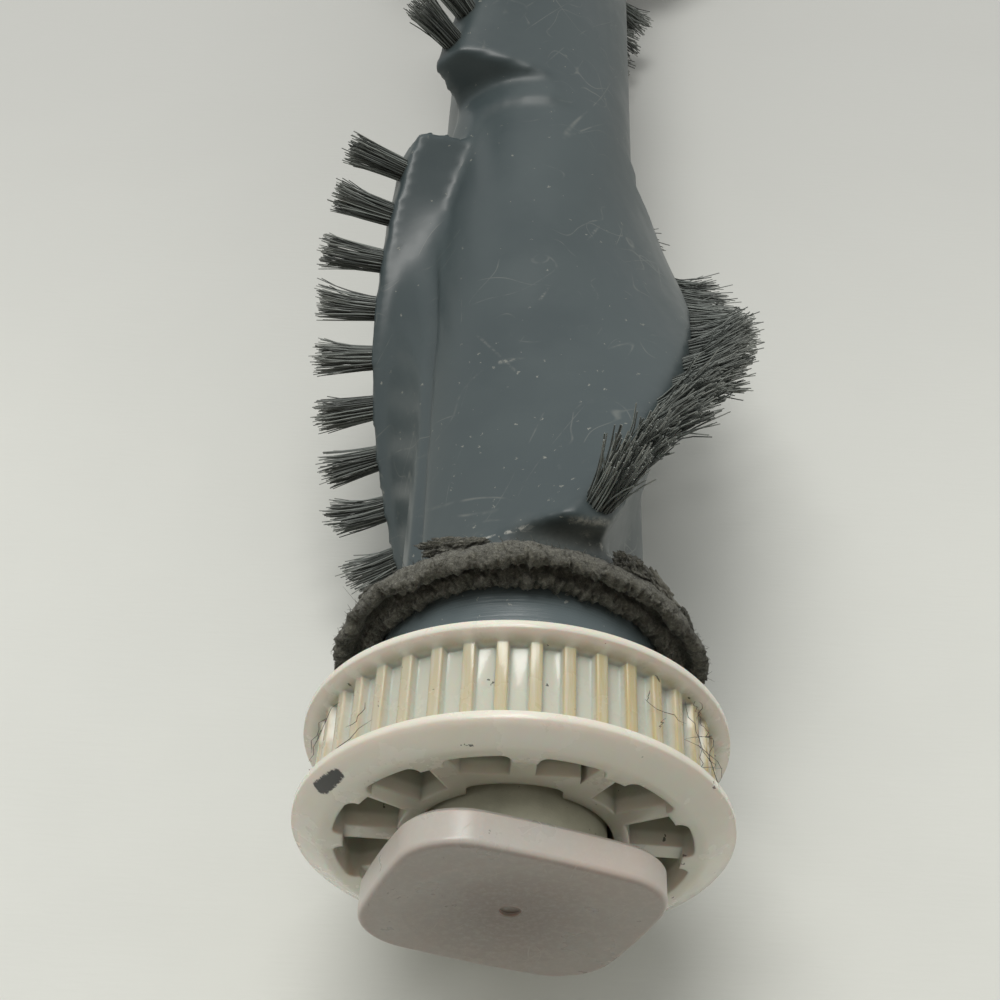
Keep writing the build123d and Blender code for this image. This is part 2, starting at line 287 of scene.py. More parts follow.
class Effects:
    """Node groups that several finishes share. Places are in millimetres."""

    VECTOR = "NodeSocketVector"
    FLOAT = "NodeSocketFloat"

    def __init__(self) -> None:
        """Build every group once."""
        self.mottle = self._mottle()
        self.specks = self._specks()
        self.scratches = self._scratches()
        self.crevice = self._crevice()
        self.edges = self._edges()
        self.streak = self._streak()

    def _group(self, name: str, **sockets: Any) -> tuple[Shading, bpy.types.Node, bpy.types.Node]:
        """Start a group with named inputs and one output.

        Args:
            name: Name of the group.
            **sockets: Default of each input; a tuple makes it a vector.

        Returns:
            The tree's short ways, its input node and its output node.
        """
        tree = bpy.data.node_groups.new(name, "ShaderNodeTree")
        for key, value in sockets.items():
            kind = self.VECTOR if isinstance(value, tuple) else self.FLOAT
            label = key.replace("_", " ").capitalize()
            socket = tree.interface.new_socket(label, in_out="INPUT", socket_type=kind)
            socket.default_value = value
        tree.interface.new_socket("Mask", in_out="OUTPUT", socket_type=self.FLOAT)
        return Shading(tree), tree.nodes.new("NodeGroupInput"), tree.nodes.new("NodeGroupOutput")

    @staticmethod
    def _shrunk(shading: Shading, given: bpy.types.Node, size: str) -> Socket:
        """A group's place, counted in one of its own sizes."""
        return shading.scaled(given.outputs["Place"], shading.math("DIVIDE", 1.0, given.outputs[size]))

    @staticmethod
    def _ended(shading: Shading, result: bpy.types.Node, mask: Socket) -> bpy.types.NodeTree:
        """Join a mask to a group's output and give the group."""
        shading.tree.links.new(mask, result.inputs[0])
        return shading.tree

    def _mottle(self) -> bpy.types.NodeTree:
        """Soft cloudy unevenness with patches of a given size."""
        shading, given, result = self._group("Mottle", place=(0.0, 0.0, 0.0), size=5.0)
        place = self._shrunk(shading, given, "Size")
        cloud = shading.noise(place, detail=5.0, roughness=0.6)
        return self._ended(shading, result, shading.span(cloud, 0.3, 0.7))

    def _specks(self) -> bpy.types.NodeTree:
        """Scattered grains: pitch between them, share of cells filled and size within a cell."""
        shading, given, result = self._group("Specks", place=(0.0, 0.0, 0.0), pitch=1.0, cover=0.4, size=0.25)
        place = self._shrunk(shading, given, "Pitch")
        drift = shading.node("TexNoise", {"Vector": place, "Scale": 3.0}).outputs[1]
        ragged = shading.vector("ADD", place, drift)
        cells = shading.node("TexVoronoi", {"Vector": ragged.outputs[0], "Scale": 1.0})
        lot = shading.node("SeparateColor", {0: cells.outputs["Color"]})
        reach = shading.math("MULTIPLY", given.outputs["Size"], lot.outputs[1])
        grain = shading.math("LESS_THAN", cells.outputs["Distance"], reach)
        kept = shading.math("LESS_THAN", lot.outputs[0], given.outputs["Cover"])
        return self._ended(shading, result, shading.math("MULTIPLY", grain, kept))

    def _scratches(self) -> bpy.types.NodeTree:
        """Fine broken lines in three directions, with their spacing and their width."""
        shading, given, result = self._group("Scratches", place=(0.0, 0.0, 0.0), spacing=3.0, width=0.01)
        place = self._shrunk(shading, given, "Spacing")
        turns = ((0.2, 0.1, 0.5), (0.9, 0.4, -0.7), (0.3, 1.1, 1.4))
        lines = None
        for turn in turns:
            drawn = shading.noise(shading.stretched(place, (1.0, 0.07, 1.0), turn), detail=1.0)
            offset = shading.math("ABSOLUTE", shading.math("SUBTRACT", drawn, 0.5))
            line = shading.span(offset, 0.0, given.outputs["Width"], 1.0, 0.0)
            lines = line if lines is None else shading.math("MAXIMUM", lines, line)
        broken = shading.span(shading.noise(place, 0.9, 4.0, 0.7), 0.5, 0.66)
        return self._ended(shading, result, shading.math("MULTIPLY", lines, broken))

    def _crevice(self) -> bpy.types.NodeTree:
        """Corners and hollows found by ambient occlusion, the mask for painted shade; reach is in metres."""
        shading, given, result = self._group("Crevice", reach=0.002)
        shade = shading.node("AmbientOcclusion", {"Distance": given.outputs["Reach"]}, samples=8)
        return self._ended(shading, result, shading.span(shade.outputs["AO"], 0.35, 0.95, 1.0, 0.0))

    def _edges(self) -> bpy.types.NodeTree:
        """Sharp edges, where a surface wears; radius is in metres."""
        shading, given, result = self._group("Edges", radius=0.0004)
        eased = shading.node("Bevel", {"Radius": given.outputs["Radius"]}, samples=6)
        plain = shading.node("NewGeometry")
        agree = shading.vector("DOT_PRODUCT", eased.outputs[0], plain.outputs["Normal"]).outputs["Value"]
        return self._ended(shading, result, shading.span(agree, 0.8, 0.995, 1.0, 0.0))

    def _streak(self) -> bpy.types.NodeTree:
        """One scuff between two points, with its width and how far it is worn away."""
        shading, given, result = self._group(
            "Streak", place=(0.0, 0.0, 0.0), start=(0.0, 0.0, 0.0), end=(0.0, 1.0, 0.0), width=0.3, wear=1.0
        )
        line = shading.vector("SUBTRACT", given.outputs["End"], given.outputs["Start"]).outputs[0]
        arm = shading.vector("SUBTRACT", given.outputs["Place"], given.outputs["Start"]).outputs[0]
        along = shading.vector("DOT_PRODUCT", arm, line).outputs["Value"]
        square = shading.vector("DOT_PRODUCT", line, line).outputs["Value"]
        share = shading.math("DIVIDE", along, square, clamp=True)
        nearest = shading.scaled(line, share)
        gap = shading.node("VectorMath", {0: arm, 1: nearest}, operation="DISTANCE").outputs["Value"]
        rough = shading.noise(given.outputs["Place"], 2.2, 5.0, 0.75)
        core = shading.span(gap, 0.0, given.outputs["Width"], 1.0, 0.0)
        lost = shading.math("MULTIPLY", shading.span(rough, 0.38, 0.62, 1.0, 0.0), given.outputs["Wear"])
        kept = shading.math("SUBTRACT", 1.0, lost)
        return self._ended(shading, result, shading.math("MULTIPLY", core, kept))


class Surface(Shading):
    """A material under construction: its Principled shader and its place in millimetres."""

    def __init__(self, name: str) -> None:
        """Start a material with an empty tree.

        Args:
            name: Name of the material.
        """
        self.material = bpy.data.materials.new(name)
        self.material.use_nodes = True
        super().__init__(self.material.node_tree)
        self.tree.nodes.clear()
        self.shader = self.node("BsdfPrincipled")
        output = self.node("OutputMaterial")
        self.tree.links.new(self.shader.outputs[0], output.inputs["Surface"])
        self.place = self.scaled(self.node("TexCoord").outputs["Object"], 1.0 / MM)
        split = self.node("SeparateXYZ", {0: self.place})
        self.x, self.y, self.z = split.outputs[0], split.outputs[1], split.outputs[2]

    def radius(self) -> Socket:
        """Distance from the roller's axis in millimetres."""
        across = self.node("CombineXYZ", {0: self.x, 2: self.z})
        return self.vector("LENGTH", across.outputs[0]).outputs["Value"]

    def facing(self, normal: str) -> Socket:
        """How squarely the surface faces along the axis, by one of Geometry's normals."""
        split = self.node("SeparateXYZ", {0: self.node("NewGeometry").outputs[normal]})
        return self.math("ABSOLUTE", split.outputs[1])

    def strand(self) -> Socket:
        """Random number of each separate strand."""
        return self.node("NewGeometry").outputs["Random Per Island"]

    def finish(
        self, colour: Any, roughness: Any, height: Any = None, depth: float = 0.0002, rounding: Any = None,
        **plain: Any,
    ) -> bpy.types.Material:
        """Join the finished sockets to the shader.

        Args:
            colour: Base colour.
            roughness: Roughness.
            height: Relief from 0 to 1, if any.
            depth: Depth of the relief in metres.
            rounding: Radius in metres by which sharp edges look eased, if any.
            **plain: Values of other sockets of the shader, the same all over.

        Returns:
            The finished material.
        """
        self.tree.links.new(colour, self.shader.inputs["Base Color"])
        self.tree.links.new(roughness, self.shader.inputs["Roughness"])
        eased = None if rounding is None else self.node("Bevel", {"Radius": rounding}, samples=8).outputs[0]
        if height is not None:
            bump = self.node("Bump", {"Height": height, "Distance": depth, "Strength": 1.0})
            if eased is not None:
                self.tree.links.new(eased, bump.inputs["Normal"])
            eased = bump.outputs[0]
        if eased is not None:
            self.tree.links.new(eased, self.shader.inputs["Normal"])
        for key, value in plain.items():
            self.shader.inputs[key.replace("_", " ").title().replace("Ior", "IOR")].default_value = value
        return self.material


@dataclass(frozen=True)
class PaleStreak:
    """A pale streak on the barrel, from one point to another in millimetres; most are scuffs, and those
    across the belt end face are partly painted light.
    """

    start: Point
    end: Point
    width: float
    strength: float
    wear: float = 1.0


@dataclass(frozen=True)
class BarrelPlastic:
    """Blue-grey moulded plastic, scratched, dusty, with turned rings on its necks."""

    body: Colour = (0.046, 0.063, 0.068)
    pale: Colour = (0.057, 0.076, 0.080)
    dust: Colour = (0.36, 0.36, 0.32)
    crevice_shade: Colour = (0.032, 0.036, 0.031)
    burr: Colour = (0.55, 0.54, 0.49)
    lightened: Colour = (0.140, 0.172, 0.184)
    belt_neck: tuple[float, float] = (-121.0, -110.3)
    idle_neck: tuple[float, float] = (123.9, 133.0)
    neck_reach: float = 14.3
    torn_end: tuple[float, float] = (-107.9, -107.55)
    torn_from: float = 13.0
    pale_streaks: tuple[PaleStreak, ...] = (
        PaleStreak((-3.2, -81.2, 12.2), (1.6, -81.0, 12.5), 0.45, 0.55),
        PaleStreak((0.8, -71.5, 12.6), (10.2, -49.3, 9.6), 0.28, 0.30),
        PaleStreak((-6.0, -76.0, 11.2), (-1.5, -83.0, 12.6), 0.25, 0.20),
        PaleStreak((4.2, -104.6, 15.4), (5.8, -107.4, 15.8), 0.9, 0.75),
        # The three streaks across the belt end face, near y -107.6, are partly scuffs and partly painted
        # light that lightens this shaded face.
        PaleStreak((0.5, -107.6, 15.0), (9.0, -107.6, 16.4), 2.6, 0.22, 0.25),
        PaleStreak((2.0, -107.9, 14.0), (11.0, -107.9, 13.6), 1.6, 0.22, 0.4),
        PaleStreak((4.4, -107.5, 17.6), (8.6, -107.4, 17.0), 0.7, 0.75, 0.9),
    )

    def material(self, effects: Effects) -> bpy.types.Material:
        """Build the material.

        Args:
            effects: Shared node groups.

        Returns:
            The material.
        """
        s = Surface("barrel_plastic")
        near_axis = s.span(s.radius(), self.neck_reach - 0.2, self.neck_reach, 1.0, 0.0)
        necks = s.math("ADD", s.band(s.y, *self.belt_neck, 0.2), s.band(s.y, *self.idle_neck, 0.2))
        neck = s.math("MULTIPLY", near_axis, necks)
        tone = s.effect(effects.mottle, place=s.place, size=14.0)
        colour = s.blend(tone, self.body, self.pale)
        # Painted light: the necks are made lighter, standing in for light that reaches them past the felt and
        # the pulley.
        colour = s.over(colour, self.lightened, neck, 0.8)
        # Painted shade: corners and hollows are darkened by ambient occlusion, less at the belt end than
        # towards the middle of the barrel.
        crevice_shade_share = s.span(s.y, -95.0, -75.0, 0.22, 0.7)
        crevice_shade = s.math("MULTIPLY", s.effect(effects.crevice, reach=4 * MM), crevice_shade_share)
        colour = s.blend(crevice_shade, colour, self.crevice_shade)
        lines = s.effect(effects.scratches, place=s.place, spacing=9.0, width=0.006)
        lines = s.math("MULTIPLY", lines, s.math("SUBTRACT", 1.0, neck))
        colour = s.over(colour, self.dust, lines, 0.22)
        dusty = s.span(s.y, -60.0, -104.0, 0.16, 0.5)
        specks = s.effect(effects.specks, place=s.place, pitch=0.9, cover=dusty, size=0.2)
        colour = s.over(colour, self.dust, specks, 0.5)
        for pale_streak in self.pale_streaks:
            streak = s.effect(
                effects.streak, place=s.place, start=pale_streak.start, end=pale_streak.end, width=pale_streak.width,
                wear=pale_streak.wear,
            )
            colour = s.over(colour, self.dust, streak, pale_streak.strength)
        wear = s.effect(effects.edges, radius=0.35 * MM)
        colour = s.over(colour, self.dust, wear, 0.3)

        proud = s.span(s.radius(), self.torn_from, self.torn_from + 0.4)
        aside = s.span(s.facing("True Normal"), 0.5, 0.9, 1.0, 0.0)
        torn = s.math("MULTIPLY", s.band(s.y, *self.torn_end, 0.12), s.math("MULTIPLY", proud, aside))
        torn = s.math("MULTIPLY", torn, s.span(s.noise(s.place, 1.1, 5.0, 0.75), 0.46, 0.6))
        colour = s.over(colour, self.burr, torn, 0.6)

        ring_place = s.node("CombineXYZ", {1: s.y}).outputs[0]
        rings = s.math("MULTIPLY", s.noise(ring_place, 4.0, 4.0, 0.7), neck)
        grain = s.math("MULTIPLY", s.noise(s.place, 5.0, 3.0), 0.05)
        relief = s.math("ADD", rings, grain)
        height = s.math("SUBTRACT", relief, s.math("MULTIPLY", lines, 0.1))
        roughness = s.math("ADD", s.span(tone, 0.0, 1.0, 0.34, 0.46), s.math("MULTIPLY", specks, 0.3))
        roughness = s.math("SUBTRACT", roughness, s.math("MULTIPLY", neck, 0.18))
        return s.finish(colour, roughness, height, 0.06 * MM, 0.3 * MM, specular_ior_level=0.45)


@dataclass(frozen=True)
class BristleNylon:
    """Dark grey nylon filaments, each a little different, dusty at their tips."""

    dark: Colour = (0.066, 0.074, 0.070)
    grey: Colour = (0.25, 0.276, 0.26)
    dusty: Colour = (0.34, 0.34, 0.31)
    dust_start: float = 21.5
    dust_end: float = 28.0

    def material(self, effects: Effects) -> bpy.types.Material:
        """Build the material.

        Args:
            effects: Shared node groups.

        Returns:
            The material.
        """
        s = Surface("bristle_nylon")
        lot = s.strand()
        colour = s.blend(s.span(lot, 0.0, 1.0), self.dark, self.grey)
        tip = s.span(s.radius(), self.dust_start, self.dust_end, 0.0, 0.55)
        colour = s.over(colour, self.dusty, tip, lot)
        lint = s.effect(effects.specks, place=s.place, pitch=0.7, cover=0.25, size=0.3)
        colour = s.over(colour, self.dusty, lint, 0.4)
        roughness = s.span(s.noise(s.place, 2.0), 0.3, 0.7, 0.35, 0.55)
        return s.finish(colour, roughness, s.noise(s.place, 9.0), 0.01 * MM)


@dataclass(frozen=True)
class PulleyPlastic:
    """Warm white glossy plastic, yellow where the belt has run, with painted shade in its pockets."""

    body: Colour = (0.745, 0.735, 0.635)
    milky: Colour = (0.77, 0.765, 0.68)
    worn: Colour = (0.55, 0.545, 0.465)
    stain: Colour = (0.47, 0.40, 0.195)
    crevice_shade: Colour = (0.085, 0.075, 0.045)
    speck: Colour = (0.04, 0.035, 0.025)
    ink: Colour = (0.008, 0.008, 0.010)
    stain_from: float = 18.1
    stain_to: float = 18.6
    tooth_band: tuple[float, float] = (-129.9, -122.3)
    pockets_to: float = 16.6
    flange_from: float = 16.4
    patch_start: Point = (-16.9, -132.0, 9.0)
    patch_end: Point = (-15.4, -132.2, 11.4)
    patch_width: float = 1.15

    def material(self, effects: Effects) -> bpy.types.Material:
        """Build the material.

        Args:
            effects: Shared node groups.

        Returns:
            The material.
        """
        s = Surface("pulley_plastic")
        tone = s.effect(effects.mottle, place=s.place, size=7.0)
        colour = s.blend(tone, self.body, self.milky)
        face = s.band(s.y, *self.tooth_band, 0.3)
        colour = s.blend(face, colour, self.worn)
        tips = s.math("MULTIPLY", s.span(s.radius(), self.stain_from, self.stain_to), face)
        drawn = s.noise(s.stretched(s.place, (1.6, 0.1, 1.6)), 1.0, 4.0, 0.7)
        uneven = s.math("MULTIPLY", s.span(drawn, 0.25, 0.6, 0.35, 1.0), s.span(s.x, -16.0, 14.0, 0.45, 0.95))
        colour = s.over(colour, self.stain, tips, uneven)
        # Painted shade: hollows in the pockets are darkened by ambient occlusion, unevenly by the mottle, and
        # only faintly outside the pockets.
        inside = s.span(s.radius(), self.pockets_to, self.pockets_to + 0.8, 1.0, 0.12)
        hollows = s.effect(effects.crevice, reach=2.5 * MM)
        veil = s.math("MULTIPLY", hollows, s.span(tone, 0.0, 1.0, 0.25, 0.55))
        veil = s.math("MULTIPLY", veil, inside)
        colour = s.blend(veil, colour, self.crevice_shade)
        specks = s.effect(effects.specks, place=s.place, pitch=1.6, cover=0.16, size=0.16)
        colour = s.over(colour, self.speck, specks, 0.8)
        patch = s.effect(
            effects.streak, place=s.place, start=self.patch_start, end=self.patch_end, width=self.patch_width,
            wear=0.6,
        )
        patch = s.span(patch, 0.05, 0.16, 0.0, 0.96)
        colour = s.blend(patch, colour, self.ink)
        roughness = s.math("ADD", s.span(tone, 0.0, 1.0, 0.20, 0.30), s.math("MULTIPLY", veil, 0.4))
        roughness = s.math("ADD", roughness, s.math("MULTIPLY", patch, 0.3))
        grain = s.noise(s.place, 3.0, 4.0)
        flange = s.math("MULTIPLY", s.span(s.radius(), self.flange_from, self.flange_from + 1.0),
                        s.math("SUBTRACT", 1.0, face))
        rounding = s.span(flange, 0.0, 1.0, 0.35 * MM, 1.5 * MM)
        return s.finish(
            colour, roughness, grain, 0.012 * MM, rounding, subsurface_weight=0.5, subsurface_scale=1.6 * MM,
            coat_weight=0.4, coat_roughness=0.08,
        )


@dataclass(frozen=True)
class CapMoulding:
    """Pinkish white waxy moulding, with painted shade on its end face, darkest at the middle over the thin
    wall of its pocket.
    """

    rim: Colour = (0.485, 0.463, 0.425)
    blush: Colour = (0.515, 0.455, 0.405)
    front_shade: Colour = (0.165, 0.136, 0.118)
    dirt_and_shade: Colour = (0.12, 0.10, 0.075)
    haze: Colour = (0.60, 0.565, 0.52)
    front_shade_reach: float = 13.0

    def material(self, effects: Effects) -> bpy.types.Material:
        """Build the material.

        Args:
            effects: Shared node groups.

        Returns:
            The material.
        """
        s = Surface("cap_moulding")
        tone = s.effect(effects.mottle, place=s.place, size=9.0)
        colour = s.blend(tone, self.rim, self.blush)
        # Painted shade: the end face, which looks along the axis, is darkened, most at its middle over the
        # thin wall of the pocket.
        front = s.span(s.facing("Normal"), 0.55, 0.98)
        off = s.math("MULTIPLY", s.span(s.radius(), 0.0, self.front_shade_reach, 0.88, 0.46), front)
        colour = s.blend(off, colour, self.front_shade)
        specks = s.effect(effects.specks, place=s.place, pitch=1.3, cover=0.2, size=0.12)
        colour = s.over(colour, self.dirt_and_shade, specks, 0.5)
        # Painted shade: hollows darkened by ambient occlusion; the same colour serves the real dirt specks
        # above.
        veil = s.math("MULTIPLY", s.effect(effects.crevice, reach=1.2 * MM), 0.4)
        colour = s.blend(veil, colour, self.dirt_and_shade)
        lines = s.effect(effects.scratches, place=s.place, spacing=5.0, width=0.008)
        lightened = s.span(s.noise(s.place, 1.6, 5.0, 0.75), 0.42, 0.68, 0.0, 0.16)
        colour = s.blend(s.math("MAXIMUM", lightened, s.math("MULTIPLY", lines, 0.28)), colour, self.haze)
        swirl = s.noise(s.node("CombineXYZ", {0: s.radius()}).outputs[0], 2.2, 3.0, 0.6)
        height = s.math("ADD", s.math("MULTIPLY", swirl, 0.5), s.math("MULTIPLY", lines, -0.4))
        roughness = s.math("ADD", s.span(tone, 0.0, 1.0, 0.27, 0.37), s.math("MULTIPLY", lines, 0.1))
        return s.finish(
            colour, roughness, height, 0.03 * MM, 0.25 * MM, subsurface_weight=0.3, subsurface_scale=2.0 * MM
        )


@dataclass(frozen=True)
class HolderPlastic:
    """Grey-green plastic under a film of dust."""

    body: Colour = (0.48, 0.475, 0.37)
    dust: Colour = (0.60, 0.59, 0.47)
    speck: Colour = (0.10, 0.09, 0.06)

    def material(self, effects: Effects) -> bpy.types.Material:
        """Build the material.

        Args:
            effects: Shared node groups.

        Returns:
            The material.
        """
        s = Surface("holder_plastic")
        veil = s.effect(effects.mottle, place=s.place, size=3.0)
        colour = s.blend(veil, self.body, self.dust)
        specks = s.effect(effects.specks, place=s.place, pitch=0.7, cover=0.3, size=0.22)
        colour = s.over(colour, self.speck, specks, 0.6)
        roughness = s.span(veil, 0.0, 1.0, 0.6, 0.85)
        return s.finish(colour, roughness, s.noise(s.place, 6.0), 0.03 * MM)


@dataclass(frozen=True)
class SealFelt:
    """Matted grey-brown felt and lint."""

    dark: Colour = (0.026, 0.026, 0.018)
    wool: Colour = (0.068, 0.067, 0.048)
    lint: Colour = (0.33, 0.32, 0.265)

    def material(self, effects: Effects) -> bpy.types.Material:
        """Build the material.

        Args:
            effects: Shared node groups.

        Returns:
            The material.
        """
        s = Surface("seal_felt")
        clumps = s.effect(effects.mottle, place=s.place, size=1.6)
        colour = s.blend(clumps, self.dark, self.wool)
        lot = s.strand()
        colour = s.blend(s.span(lot, 0.55, 1.0, 0.0, 0.6), colour, self.lint)
        strands = s.effect(effects.scratches, place=s.place, spacing=0.9, width=0.03)
        colour = s.over(colour, self.lint, strands, 0.6)
        specks = s.effect(effects.specks, place=s.place, pitch=0.6, cover=0.35, size=0.3)
        colour = s.over(colour, self.lint, specks, 0.45)
        grit = s.span(s.noise(s.place, 3.4, 5.0, 0.8), 0.47, 0.62, 0.0, 0.5)
        colour = s.blend(grit, colour, self.lint)
        # Painted shade: hollows of the felt darkened by ambient occlusion.
        deep = s.math("MULTIPLY", s.effect(effects.crevice, reach=1.0 * MM), 0.7)
        colour = s.blend(deep, colour, self.dark)
        height = s.math("ADD", s.noise(s.place, 3.2, 6.0, 0.75), s.math("MULTIPLY", strands, 0.3))
        return s.finish(colour, s.span(clumps, 0.0, 1.0, 0.85, 1.0), height, 0.35 * MM, sheen_weight=0.15)


@dataclass(frozen=True)
class HairFinish:
    """Dark stray hairs caught on the roller."""

    name: str = "stray_hair"
    dark: Colour = (0.008, 0.007, 0.006)
    light: Colour = (0.045, 0.036, 0.028)

    def material(self, effects: Effects) -> bpy.types.Material:
        """Build the material.

        Args:
            effects: Shared node groups.

        Returns:
            The material.
        """
        s = Surface(self.name)
        lot = s.strand()
        tone = s.math("MULTIPLY", lot, s.effect(effects.mottle, place=s.place, size=2.0))
        return s.finish(s.blend(tone, self.dark, self.light), s.span(tone, 0.0, 1.0, 0.4, 0.6))


@dataclass(frozen=True)
class MetalFinish:
    """Bare metal with fine marks along its making direction and dull patches."""

    name: str
    bright: Colour
    dull: Colour
    marks: Point
    roughness: tuple[float, float]
    depth: float

    def material(self, effects: Effects) -> bpy.types.Material:
        """Build the material.

        Args:
            effects: Shared node groups.

        Returns:
            The material.
        """
        s = Surface(self.name)
        patches = s.effect(effects.mottle, place=s.place, size=2.5)
        drawn = s.noise(s.stretched(s.place, self.marks), 1.0, 5.0, 0.7)
        colour = s.blend(s.math("MULTIPLY", patches, drawn), self.bright, self.dull)
        roughness = s.span(patches, 0.0, 1.0, *self.roughness)
        return s.finish(colour, roughness, drawn, self.depth, 0.1 * MM, metallic=1.0)


@dataclass(frozen=True)
class FloorSheet:
    """Pale sheet that the roller lies on, with faint fibres, soft creases and painted shade that darkens it
    towards the back.
    """

    paper: Colour = (0.74, 0.75, 0.71)
    shade: Colour = (0.70, 0.71, 0.675)
    far: Colour = (0.55, 0.555, 0.535)
    near_place: float = -125.0
    far_place: float = 60.0

    def material(self, effects: Effects) -> bpy.types.Material:
        """Build the material.

        Args:
            effects: Shared node groups.

        Returns:
            The material.
        """
        s = Surface("floor_sheet")
        cloud = s.effect(effects.mottle, place=s.place, size=90.0)
        fibre = s.noise(s.stretched(s.place, (0.25, 2.0, 1.0)), 1.0, 3.0)
        colour = s.blend(cloud, self.paper, self.shade)
        # Painted shade: the sheet is darker towards the back, standing in for light that falls off away from
        # the front.
        colour = s.blend(s.span(s.y, self.near_place, self.far_place), colour, self.far)
        height = s.math("ADD", s.noise(s.place, 0.02, 2.0), s.math("MULTIPLY", fibre, 0.02))
        return s.finish(colour, s.span(fibre, 0.0, 1.0, 0.8, 0.95), height, 1.0 * MM)


@dataclass(frozen=True)
class Tuft:
    """Where one tuft stands: along Y, its outward direction and the distance of its tip."""

    y: float
    outward: Vector
    tip: float


@dataclass
class BristleRow:
    """All the tufts of one stretch of one rib, made of separate filaments."""

    stretch: Stretch
    rib: Rib
    crest: float
    fray: float
    filaments: int = 120
    filament_radius: float = 0.085 * MM
    bundle_radius: float = 1.45 * MM
    sunk: float = 1.6 * MM
    flare: float = 1.45
    tuft_gap: float = 0.5 * MM
    floor_gap: float = 0.15 * MM
    pushed_up: float = 2.2 * MM
    knots: int = 5
    golden_turn: float = math.radians(137.508)
    lengths: tuple[float, float] = (0.93, 1.03)
    lean_spread: float = 0.5
    flare_power: float = 1.3
    droop: float = 0.3
    tip_share: float = 0.85

    @property
    def node(self) -> str:
        """Name of the CAD node that these tufts stand for."""
        return f"bristles_{self.stretch.value}_{self.rib.value}"

    @property
    def anchors(self) -> str:
        """Name of the CAD node that holds the wire anchors under these tufts."""
        return f"anchors_{self.stretch.value}_{self.rib.value}"

    def tufts(self) -> Iterator[Tuft]:
        """Read the tufts' places from the CAD node.

        Returns:
            The tufts in order along Y.
        """
        corners = sorted((v.co.copy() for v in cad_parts[self.node].data.vertices), key=lambda p: p.y)
        group = [corners[0]]
        for corner in corners[1:]:
            if corner.y - group[-1].y > self.tuft_gap:
                yield self._tuft(group)
                group = []
            group.append(corner)
        yield self._tuft(group)

    @staticmethod
    def _tuft(corners: list[Vector]) -> Tuft:
        """Place of the tuft with these corners."""
        middle = sum(corners, Vector()) / len(corners)
        outward = Vector((middle.x, 0.0, middle.z)).normalized()
        tip = max(corner.dot(outward) for corner in corners)
        return Tuft((corners[0].y + corners[-1].y) / 2, outward, tip)

    def _filament(self, tuft: Tuft, number: int, lean: Vector, luck: random.Random) -> Thread:
        """Draw one filament of a tuft.

        Args:
            tuft: The tuft it belongs to.
            number: Its number in the bundle, counted from the middle outwards.
            lean: How far the whole tuft leans at its tips.
            luck: Seeded random numbers.

        Returns:
            The filament's strand.
        """
        along = Vector((0.0, 1.0, 0.0))
        across = tuft.outward.cross(along)
        turn = number * self.golden_turn
        reach = self.bundle_radius * math.sqrt((number + 0.5) / self.filaments)
        root = along * (reach * math.cos(turn)) + across * (reach * math.sin(turn))
        stray = scatter(luck, 1.0) * (self.fray * MM)
        start = self.crest - self.sunk
        length = (tuft.tip - start) * luck.uniform(*self.lengths)
        points = []
        for knot in range(self.knots):
            share = knot / (self.knots - 1)
            spread = root * (1 + (self.flare - 1) * share ** self.flare_power)
            bend = (lean + stray) * share ** 2
            height = start + length * share - bend.length * self.droop * share
            point = tuft.outward * height + along * tuft.y + spread + bend
            point.z = max(point.z, CAD_BOX[0].z + self.floor_gap)
            points.append(point)
        return Thread(points, [1.0] * (self.knots - 1) + [self.tip_share])

    def build(self, finish: bpy.types.Material) -> bpy.types.Object:
        """Make the row and put it in place of its CAD node.

        Args:
            finish: Material of the filaments.

        Returns:
            The finished piece.
        """
        luck = random.Random(f"row {self.node}")
        threads = []
        for tuft in self.tufts():
            lean = scatter(luck, self.lean_spread) * MM
            lean.z += self.pushed_up * max(0.0, -tuft.outward.z)
            lean -= tuft.outward * lean.dot(tuft.outward)
            threads += [self._filament(tuft, number, lean, luck) for number in range(self.filaments)]
        piece = new_object(f"filaments_{self.stretch.value}_{self.rib.value}",
                           threads_mesh(self.node, threads, self.filament_radius), finish)
        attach(piece, Body.ROLLER.value)
        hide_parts(self.node)
        return piece


@dataclass(frozen=True)
class Lump:
    """A roll of lint on a felt seal: its angle in degrees, its length and its thickness."""

    angle: float
    length: float
    thick: float


